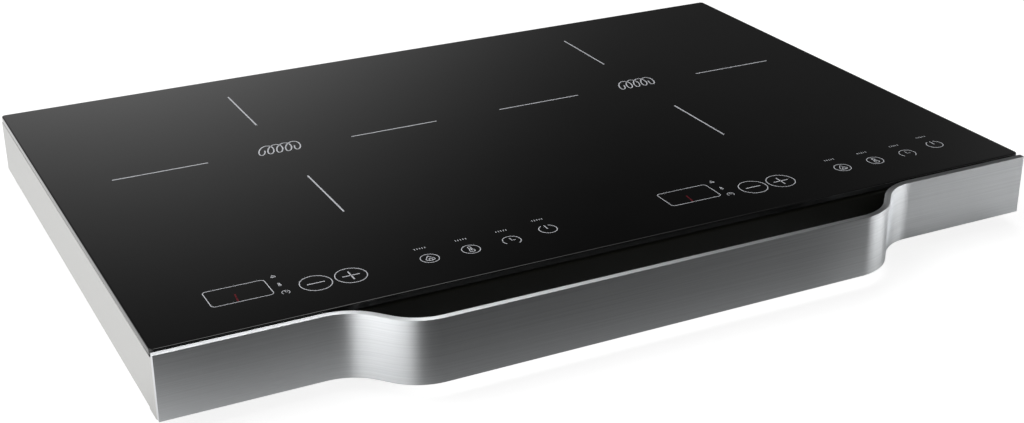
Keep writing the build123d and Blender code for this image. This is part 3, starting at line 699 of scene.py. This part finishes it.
@dataclass
class KeyGroup:
    """Display window and touch-key marks of one zone.

    Places are millimetres from the middle and the front edge of the glass. The digit's gap is a share of
    its height.
    """

    name: str
    shift: float
    line: float = 0.55
    fine: float = 0.5
    form: SignForm = SignForm()
    window: Triple = (36.7, 20.2, 2.4)
    window_steps: int = 8
    window_place: Pair = (-237.15, 42.2)
    step_keys: tuple[Pair, Pair] = ((-193.3, 34.3), (-171.7, 34.3))
    step_radius: float = 9.5
    step_arm: float = 5.4
    step_arm_width: float = 0.8
    key_places: tuple[Pair, ...] = ((-122.0, 34.0), (-95.0, 34.0), (-67.7, 34.0), (-40.7, 38.3))
    key_radius: float = 5.7
    note_rise: float = 14.0
    note_pitch: float = 1.7
    note_height: float = 1.8
    note_width: float = 0.45
    note_ticks: int = 5
    mode_x: float = -212.5
    mode_ys: Triple = (53.7, 42.3, 31.3)
    mode_scale: float = 0.5
    digit_place: Pair = (-239.6, 37.6)
    digit_height: float = 9.6
    digit_lean: float = math.radians(6)
    digit_width: float = 1.0
    digit_gap: float = 0.03

    def sign(self, sheet: Print, sign: Sign, centre: Pair, scale: float, ringed: bool) -> None:
        """Draw one sign from arcs, lines and a drop.

        The flame is a drop curve: its width is the angle's sine times the square of the half angle's
        sine, and its height follows the cosine.

        Args:
            sheet: The print that takes the strokes.
            sign: Which sign to draw.
            centre: Its middle.
            scale: Its size, where 1 fits a key.
            ringed: True where it stands in a round key.
        """
        form = self.form
        middle = np.asarray(centre)
        width = self.fine * (1 if ringed else form.small_stroke)
        if sign is Sign.FLAME:
            angle = np.linspace(0, 2 * np.pi, form.flame_steps)[:-1]
            across = form.flame_width * np.sin(angle) * np.sin(angle / 2) ** 2
            drop = np.stack([across, np.cos(angle)], axis=-1)
            for height, lift in form.flame_drops:
                sheet.stroke(middle + scale * (height * drop + [0, lift]), width, closed=True)
        elif sign is Sign.THERMOMETER:
            bulb = arc((0.0, form.bulb_y), form.bulb_radius, *form.bulb_sweep, form.bulb_steps)
            tip = arc((0.0, form.tip_y), form.tip_radius, 0, 180, form.tip_steps)
            sheet.stroke(middle + scale * np.concatenate([bulb, tip]), width, closed=True)
            sheet.line(middle + [0, form.bulb_y * scale], middle + [0, form.mercury_y * scale], width)
        elif sign is Sign.CLOCK:
            sheet.line(middle, middle + [0, form.long_hand * scale], width)
            hub = middle - [form.hand_overlap * scale, 0]
            sheet.line(hub, middle + [form.short_hand * scale, 0], width)
        else:
            foot, top = (middle + [0, y * scale] for y in form.power_bar)
            sheet.line(foot, top, width * form.power_bar_widening)
        if ringed:
            self.key_outline(sheet, sign, centre)
        elif sign is Sign.CLOCK:
            radius = form.small_clock_radius * scale
            sheet.stroke(arc(centre, radius, *form.clock_sweep, form.small_clock_steps), width)

    def key_outline(self, sheet: Print, sign: Sign, centre: Pair) -> None:
        """Draw the outline of a round key, open for the clock and the power sign.

        Args:
            sheet: The print that takes the strokes.
            sign: The sign in the key.
            centre: The key's middle.
        """
        form = self.form
        if sign is Sign.CLOCK:
            sheet.stroke(arc(centre, self.key_radius, *form.clock_sweep, form.clock_steps), self.fine)
        elif sign is Sign.POWER:
            sheet.stroke(arc(centre, self.key_radius, *form.power_sweep, form.power_steps), self.line)
        else:
            sheet.ring(centre, self.key_radius, self.fine)

    def build(self, sheet: Print, digits: Print) -> None:
        """Draw the window, the step keys, the round keys with their signs and the lit digit.

        Args:
            sheet: The print that takes the grey marks.
            digits: The print that takes the lit digit.
        """
        width, depth, radius = self.window
        place = np.array([self.shift, 0.0])
        outline = rounded_box(width, depth, radius, self.window_steps) + self.window_place + place
        sheet.stroke(outline, self.fine, closed=True)
        for number, key in enumerate(self.step_keys):
            centre = np.asarray(key) + place
            sheet.ring(centre, self.step_radius, self.line)
            for way in ([self.step_arm, 0.0], [0.0, self.step_arm])[: number + 1]:
                sheet.line(centre - way, centre + way, self.step_arm_width)
        for sign, key in zip(Sign, self.key_places):
            centre = np.asarray(key) + place
            self.sign(sheet, sign, centre, 1.0, True)
            for tick in range(self.note_ticks):
                foot = centre + [(tick - (self.note_ticks - 1) / 2) * self.note_pitch, self.note_rise]
                sheet.line(foot, foot + [0, self.note_height], self.note_width)
        for sign, y in zip(Sign, self.mode_ys):
            self.sign(sheet, sign, np.array([self.mode_x, y]) + place, self.mode_scale, False)
        sheet.shape.piece(self.name + "_marks", INK)

        lean = np.array([math.sin(self.digit_lean), math.cos(self.digit_lean)])
        middle = np.asarray(self.digit_place) + place
        reach = self.digit_height
        for start, end in ((-0.5, -self.digit_gap), (self.digit_gap, 0.5)):
            digits.line(middle + lean * start * reach, middle + lean * end * reach, self.digit_width)
        digits.shape.piece(self.name + "_digit", LIT_DIGIT)


@dataclass
class Underside:
    """Rubber feet, screws and the cord gland, with the rounded forms that moulding and rolling give.

    The dome's rise and reach are shares of the screw head's height and radius.
    """

    foot_top: float = 14.0 * MM
    foot_bottom: float = 12.6 * MM
    foot_round: float = 1.2 * MM
    foot_recess: float = 5.5 * MM
    foot_recess_depth: float = 4.5 * MM
    foot_bore: float = 2.2 * MM
    foot_round_steps: int = 6
    foot_steps: int = 48
    screw_head: float = 4.0 * MM
    screw_shank: float = 2.0 * MM
    screw_head_height: float = 2.0 * MM
    screw_point: float = 0.8 * MM
    screw_point_length: float = 0.8 * MM
    screw_steps: int = 64
    dome_rise: float = 0.6
    dome_reach: float = 0.98
    dome_middle: float = 0.15 * MM
    dome_steps: int = 22
    recess_depth: float = 1.1 * MM
    recess_arm: float = 2.3 * MM
    recess_width: float = 0.55 * MM
    recess_side_ease: float = 0.3 * MM
    recess_end_ease: float = 0.6 * MM
    gland_bore: float = 4.0 * MM
    gland_neck: float = 6.5 * MM
    gland_rim: float = 9.0 * MM
    gland_rim_depth: float = 2.5 * MM
    gland_chamfer: float = 0.4 * MM
    gland_rim_steps: int = 12
    gland_steps: int = 56
    solid_gap: float = 10.0 * MM

    def runs(self, values: np.ndarray) -> np.ndarray:
        """Number the runs of close values: in order of size, a step wider than the gap starts the next.

        Args:
            values: One coordinate of each point.

        Returns:
            The number of each point's run.
        """
        order = np.argsort(values)
        numbers = np.empty(len(values), dtype=int)
        numbers[order] = np.concatenate([[0], np.cumsum(np.diff(values[order]) > self.solid_gap)])
        return numbers

    def centres(self, node: str) -> np.ndarray:
        """Find the plan middle of each solid of a node.

        Points of one solid lie close together and different solids lie further apart than the gap, so
        points that share a run both across and along belong to one solid.

        Args:
            node: The CAD node.

        Returns:
            An array of solids by two coordinates.
        """
        mesh = frame["nodes"][node].data
        flat = np.empty(len(mesh.vertices) * 3, dtype=np.float32)
        mesh.vertices.foreach_get("co", flat)
        plan = flat.reshape(-1, 3)[:, :2].astype(float)
        place = np.stack([self.runs(plan[:, 0]), self.runs(plan[:, 1])], axis=-1)
        _, group = np.unique(place, axis=0, return_inverse=True)
        group = group.ravel()
        low = np.array([plan[group == g].min(axis=0) for g in range(group.max() + 1)])
        high = np.array([plan[group == g].max(axis=0) for g in range(group.max() + 1)])
        return (low + high) / 2

    def feet(self) -> None:
        """Turn one profile for every foot: a tapered side, a rounded sole, the screw's recess and bore."""
        low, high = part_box("feet")
        shape = Shape()
        sole_centre = (self.foot_bottom - self.foot_round, low.z + self.foot_round)
        sole = arc(sole_centre, self.foot_round, 0, -90, self.foot_round_steps)
        lip = self.foot_recess + self.foot_round / 2
        profile = np.concatenate(
            [
                [[self.foot_bore, high.z], [self.foot_top, high.z]],
                sole,
                [[lip, low.z], [self.foot_recess, low.z + self.foot_round / 2]],
                [[self.foot_recess, low.z + self.foot_recess_depth]],
                [[self.foot_bore, low.z + self.foot_recess_depth]],
            ]
        )
        for x, y in self.centres("feet"):
            shape.skin(lathe(profile, (x, y, 0.0), 2, self.foot_steps), closed=True)
        shape.piece("rubber_feet", FINISHES["black_rubber"], replaces=("feet",), slot="black_rubber")

    def screws(self, node: str, name: str) -> None:
        """Shape pan-head screws with a cross recess.

        The head's face is a dome, the square root of one less the squared share of the radius, and the
        recess presses in where either side distance is under its half width and the reach is within its
        arm, both eased by a smooth step.

        Args:
            node: The CAD node of the screws.
            name: The new piece's name.
        """
        low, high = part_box(node)
        seat = low.z + self.screw_head_height
        shank = [
            [self.screw_point, high.z],
            [self.screw_shank, high.z - self.screw_point_length],
            [self.screw_shank, seat],
            [self.screw_head, seat],
        ]
        rim = np.linspace(self.screw_head, self.dome_middle, self.dome_steps)
        fall = 1 - np.sqrt(1 - (self.dome_reach * rim / self.screw_head) ** 2)
        dome = low.z + self.dome_rise * self.screw_head_height * fall
        profile = np.concatenate([shank, np.stack([rim, dome], axis=-1)])
        shape = Shape()
        for x, y in self.centres(node):
            rings = lathe(profile, (x, y, 0.0), 2, self.screw_steps)
            away = np.abs(rings[..., :2] - [x, y])
            narrow = np.clip((self.recess_width - away.min(axis=2)) / self.recess_side_ease + 0.5, 0, 1)
            short = np.clip((self.recess_arm - away.max(axis=2)) / self.recess_end_ease + 0.5, 0, 1)
            pressed = self.recess_depth * (narrow * short) ** 2 * (3 - 2 * narrow * short)
            pressed[: len(shank)] = 0.0
            rings[..., 2] += pressed
            shape.skin(rings)
        shape.piece(name, FINISHES["plated_steel"], replaces=(node,), slot="plated_steel")

    def gland(self) -> None:
        """Turn the rubber bush: two rounded rims and the neck between them, round one bore."""
        low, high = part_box("cord_gland")
        middle = (low + high) / 2
        half = (high.y - low.y) / 2
        neck = half - self.gland_rim_depth
        fat = self.gland_rim_depth / 2
        rear = arc((self.gland_rim - fat, half - fat), fat, 90, -90, self.gland_rim_steps)
        front = arc((self.gland_rim - fat, -half + fat), fat, 90, -90, self.gland_rim_steps)
        mouth = self.gland_bore + self.gland_chamfer
        profile = np.concatenate(
            [
                [[self.gland_bore, half - self.gland_chamfer], [mouth, half]],
                rear,
                [[self.gland_neck, neck], [self.gland_neck, -neck]],
                front,
                [[mouth, -half], [self.gland_bore, -half + self.gland_chamfer]],
            ]
        )
        shape = Shape()
        shape.skin(lathe(profile, tuple(middle), 1, self.gland_steps), closed=True)
        shape.piece("rubber_gland", FINISHES["black_rubber"], replaces=("cord_gland",), slot="black_rubber")


def dress_nodes() -> None:
    """Give every CAD node that stays in view the finish of its record slot."""
    for row in frame["record"]["subparts"]:
        node = frame["nodes"][row["node"]]
        if node.hide_render:
            continue
        node.data.materials.clear()
        node.data.materials.append(FINISHES[row["material_slot"]].material())
        log.info("%s: %s", row["node"], row["material_slot"])


def math_node(
    tree: bpy.types.NodeTree, operation: str, *values: bpy.types.NodeSocket | float
) -> bpy.types.NodeSocket:
    """Add a node that works out one sum.

    Args:
        tree: The nodes that it joins.
        operation: The sum's name in Blender.
        values: What goes in, in order: a socket is linked, and a number is set.

    Returns:
        The result.
    """
    node = tree.nodes.new("ShaderNodeMath")
    node.operation = operation
    for socket, value in zip(node.inputs, values):
        if isinstance(value, bpy.types.NodeSocket):
            tree.links.new(value, socket)
        else:
            socket.default_value = value
    return node.outputs["Value"]


def lean_node(tree: bpy.types.NodeTree, place: bpy.types.NodeSocket, way: Triple) -> bpy.types.NodeSocket:
    """Add a node that measures how far a place or direction reaches along a way, their dot product.

    Args:
        tree: The nodes that it joins.
        place: The place or direction.
        way: The way, a unit vector.

    Returns:
        The reach.
    """
    node = tree.nodes.new("ShaderNodeVectorMath")
    node.operation = "DOT_PRODUCT"
    node.inputs[1].default_value = way
    tree.links.new(place, node.inputs[0])
    return node.outputs["Value"]


@dataclass(frozen=True)
class Glow:
    """One soft patch of light on the studio's walls.

    Its strength falls off from its middle as the exponential of a sharpness times the cosine of the
    angle away from it, less one. A flat patch falls off faster upwards: the exponent also loses the
    flatness times the square of the rise above the patch's middle.
    """

    name: str
    turn: float
    height: float
    sharpness: float
    strength: float
    flatness: float = 0.0

    def direction(self) -> Triple:
        """Work out the way to the patch: the turn runs clockwise from the rear, seen from above.

        Returns:
            A unit vector.
        """
        turn, height = math.radians(self.turn), math.radians(self.height)
        return (
            math.sin(turn) * math.cos(height),
            math.cos(turn) * math.cos(height),
            math.sin(height),
        )

    def flatten(
        self, tree: bpy.types.NodeTree, rise: bpy.types.NodeSocket, exponent: bpy.types.NodeSocket
    ) -> bpy.types.NodeSocket:
        """Take the flatness times the squared rise above the middle from the exponent.

        Args:
            tree: The world's nodes.
            rise: The upward part of the direction.
            exponent: The exponent of the round patch.

        Returns:
            The exponent of the flat patch.
        """
        above = math_node(tree, "SUBTRACT", rise, self.direction()[2])
        square = math_node(tree, "POWER", above, 2.0)
        return math_node(tree, "MULTIPLY_ADD", square, -self.flatness, exponent)


@dataclass(frozen=True)
class SoftBox:
    """One square lamp that points at the object and leaves no square in its reflections."""

    name: str
    place: Triple
    target: Triple
    size: float
    watts: float

    def build(self) -> None:
        """Make the lamp."""
        data = bpy.data.lights.new(self.name, "AREA")
        data.size = self.size
        data.energy = self.watts
        lamp = bpy.data.objects.new(self.name, data)
        lamp.location = self.place
        aim = Vector(self.target) - Vector(self.place)
        lamp.rotation_euler = aim.to_track_quat("-Z", "Y").to_euler()
        lamp.visible_glossy = False
        bpy.context.scene.collection.objects.link(lamp)


@dataclass(frozen=True)
class Card:
    """One card on the floor in front of the bar, which only reflections see."""

    name: str
    grey: float
    corners: tuple[Pair, ...]
    softness: tuple[float, ...]
    height: float

    def _cover(self, tree: bpy.types.NodeTree) -> bpy.types.NodeSocket:
        """Fade the card out towards its sides.

        The cover is the product over the sides of a smooth step of the distance inside each side.

        Args:
            tree: The card's nodes.

        Returns:
            The cover, from 0 at the sides to 1.
        """
        place = tree.nodes.new("ShaderNodeTexCoord").outputs["Object"]
        cover = None
        ends = self.corners[1:] + self.corners[:1]
        for start, end, softness in zip(self.corners, ends, self.softness):
            run = Vector(end) - Vector(start)
            inward = Vector((-run.y, run.x)).normalized()
            inside = lean_node(tree, place, (inward.x, inward.y, 0.0))
            fade = tree.nodes.new("ShaderNodeMapRange")
            fade.interpolation_type = "SMOOTHSTEP"
            fade.inputs["From Min"].default_value = inward.dot(Vector(start))
            fade.inputs["From Max"].default_value = inward.dot(Vector(start)) + softness
            tree.links.new(inside, fade.inputs["Value"])
            step = fade.outputs["Result"]
            cover = step if cover is None else math_node(tree, "MULTIPLY", cover, step)
        return cover

    def build(self) -> None:
        """Make the card."""
        mesh = bpy.data.meshes.new(self.name)
        mesh.from_pydata([(x, y, self.height) for x, y in self.corners], [], [range(len(self.corners))])
        material = bpy.data.materials.new(self.name)
        material.use_nodes = True
        tree = material.node_tree
        shader = tree.nodes["Principled BSDF"]
        shader.inputs["Base Color"].default_value = (self.grey, self.grey, self.grey, 1.0)
        shader.inputs["Roughness"].default_value = 1.0
        tree.links.new(self._cover(tree), shader.inputs["Alpha"])
        mesh.materials.append(material)
        card = bpy.data.objects.new(self.name, mesh)
        card.visible_camera = False
        card.visible_diffuse = False
        card.visible_shadow = False
        bpy.context.scene.collection.objects.link(card)


@dataclass
class Studio:
    """Pale floor, soft light, the cards that the bar mirrors, and the camera."""

    ambient: float = 0.006
    glows: tuple[Glow, ...] = (
        Glow("behind_glass", 11.6, 8.0, 48.0, 1.43),
        Glow("behind_glass_right", 36.0, 18.0, 200.0, 0.04),
        Glow("over_bar_left", 28.0, 62.0, 40.0, 5.2),
        Glow("over_bar_right", 37.0, 52.0, 80.0, 1.4),
        Glow("left_bend_front", 225.0, 2.0, 22.0, 10.0, 150.0),
        Glow("left_bend_side", 253.0, 2.0, 16.0, 13.2, 150.0),
        Glow("right_bend_front", 121.0, 2.0, 28.0, 7.0, 150.0),
        Glow("right_bend_side", 100.0, 2.0, 20.0, 7.0, 150.0),
        Glow("right_bend_rim", 58.0, 19.0, 60.0, 0.5),
        Glow("left_wall", 240.0, 20.0, 4.0, 0.4),
        Glow("left_rear", 318.0, 12.0, 12.0, 0.6),
        Glow("left_rear_high", 315.0, 52.0, 30.0, 2.8),
    )
    lamp: SoftBox = SoftBox("upper_lamp", (-0.55, 0.05, 0.95), (-0.1, 0.0, 0.0), 0.7, 5.3)
    floor_half: float = 40.0
    floor_colour: float = 0.30
    floor_glow: float = 0.86
    cards: tuple[Card, ...] = (
        Card(
            "dark_card", 0.105, ((-0.395, -0.095), (-2.6, -6.0), (6.0, -6.06), (0.12, -0.095)),
            (0.20, 0.1, 0.10, 0.19), 2.0 * MM,
        ),
        Card(
            "grey_card", 0.86, ((0.10, -0.14), (0.5, -1.2), (1.6, -1.2), (0.6, -0.14)),
            (0.05, 0.3, 0.3, 0.03), 1.0 * MM,
        ),
    )
    image_width: float = 1024.0
    sensor: float = 36.0
    focal_pixels: float = 1652.5
    camera_place: Triple = (-0.47311, -0.95159, 0.47436)
    camera_turn: float = -26.683
    camera_drop: float = 24.171
    camera_roll: float = -0.333
    clip_start: float = 0.01

    def world(self) -> None:
        """Light the studio: an even level plus the sum of the glows."""
        world = bpy.data.worlds.new("studio")
        world.use_nodes = True
        tree = world.node_tree
        direction = tree.nodes.new("ShaderNodeTexCoord").outputs["Generated"]
        axes = tree.nodes.new("ShaderNodeSeparateXYZ")
        tree.links.new(direction, axes.inputs["Vector"])
        total = self.ambient
        for glow in self.glows:
            lean = lean_node(tree, direction, glow.direction())
            lean.node.label = glow.name
            exponent = math_node(tree, "MULTIPLY_ADD", lean, glow.sharpness, -glow.sharpness)
            if glow.flatness:
                exponent = glow.flatten(tree, axes.outputs["Z"], exponent)
            fall = math_node(tree, "EXPONENT", exponent)
            total = math_node(tree, "MULTIPLY_ADD", fall, glow.strength, total)
        background = tree.nodes["Background"]
        background.inputs["Color"].default_value = (1.0, 1.0, 1.0, 1.0)
        tree.links.new(total, background.inputs["Strength"])
        bpy.context.scene.world = world

    def floor(self) -> None:
        """Lay the pale floor, which shows white to the eye, to metal and to glass, and keeps the shadow."""
        half = self.floor_half
        mesh = bpy.data.meshes.new("floor")
        corners = [(-half, -half, 0), (half, -half, 0), (half, half, 0), (-half, half, 0)]
        mesh.from_pydata(corners, [], [(0, 1, 2, 3)])
        material = bpy.data.materials.new("pale_floor")
        material.use_nodes = True
        tree = material.node_tree
        tree.nodes.remove(tree.nodes["Principled BSDF"])
        rays = tree.nodes.new("ShaderNodeLightPath")
        seen = rays.outputs["Is Camera Ray"]
        for name in ("Is Glossy Ray", "Is Transmission Ray"):
            seen = math_node(tree, "MAXIMUM", seen, rays.outputs[name])
        glow = tree.nodes.new("ShaderNodeEmission")
        tree.links.new(math_node(tree, "MULTIPLY", seen, self.floor_glow), glow.inputs["Strength"])
        matt = tree.nodes.new("ShaderNodeBsdfDiffuse")
        matt.inputs["Color"].default_value = (self.floor_colour,) * 3 + (1.0,)
        both = tree.nodes.new("ShaderNodeAddShader")
        tree.links.new(matt.outputs["BSDF"], both.inputs[0])
        tree.links.new(glow.outputs["Emission"], both.inputs[1])
        tree.links.new(both.outputs["Shader"], tree.nodes["Material Output"].inputs["Surface"])
        mesh.materials.append(material)
        floor = bpy.data.objects.new("floor", mesh)
        bpy.context.scene.collection.objects.link(floor)

    def camera(self) -> None:
        """Set the camera where the photograph was taken."""
        data = bpy.data.cameras.new("camera")
        data.sensor_width = self.sensor
        data.lens = self.focal_pixels * self.sensor / self.image_width
        data.clip_start = self.clip_start
        camera = bpy.data.objects.new("camera", data)
        turn = Matrix.Rotation(math.radians(self.camera_turn), 4, "Z")
        tilt = Matrix.Rotation(math.radians(90 - self.camera_drop), 4, "X")
        roll = Matrix.Rotation(math.radians(self.camera_roll), 4, "Z")
        camera.matrix_world = Matrix.Translation(self.camera_place) @ turn @ tilt @ roll
        bpy.context.scene.collection.objects.link(camera)
        bpy.context.scene.camera = camera

    def build(self) -> None:
        """Set up the whole studio."""
        bpy.context.scene.view_settings.view_transform = "Standard"
        self.world()
        self.floor()
        for card in self.cards:
            card.build()
        self.lamp.build()
        self.camera()


def main() -> None:
    """Build the object's pieces in order, then the studio."""
    logging.basicConfig(level=logging.INFO, format="%(name)s: %(message)s")
    low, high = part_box("glass_top")
    HandleBar().build()
    GlassPlate().build()
    for name, x in (("left_zone_marks", -ZONE_X), ("right_zone_marks", ZONE_X)):
        ZoneMark(name, x).build(Print(0.0, low.y, high.z))
    for name, shift in (("left_key", 0.0), ("right_key", KEY_GROUP_PITCH)):
        KeyGroup(name, shift).build(Print(0.0, low.y, high.z), Print(0.0, low.y, high.z))
    underside = Underside()
    underside.feet()
    underside.screws("foot_screws", "foot_screw_heads")
    underside.screws("case_screws", "case_screw_heads")
    underside.gland()
    dress_nodes()
    Studio().build()


if __name__ == "__main__":
    main()
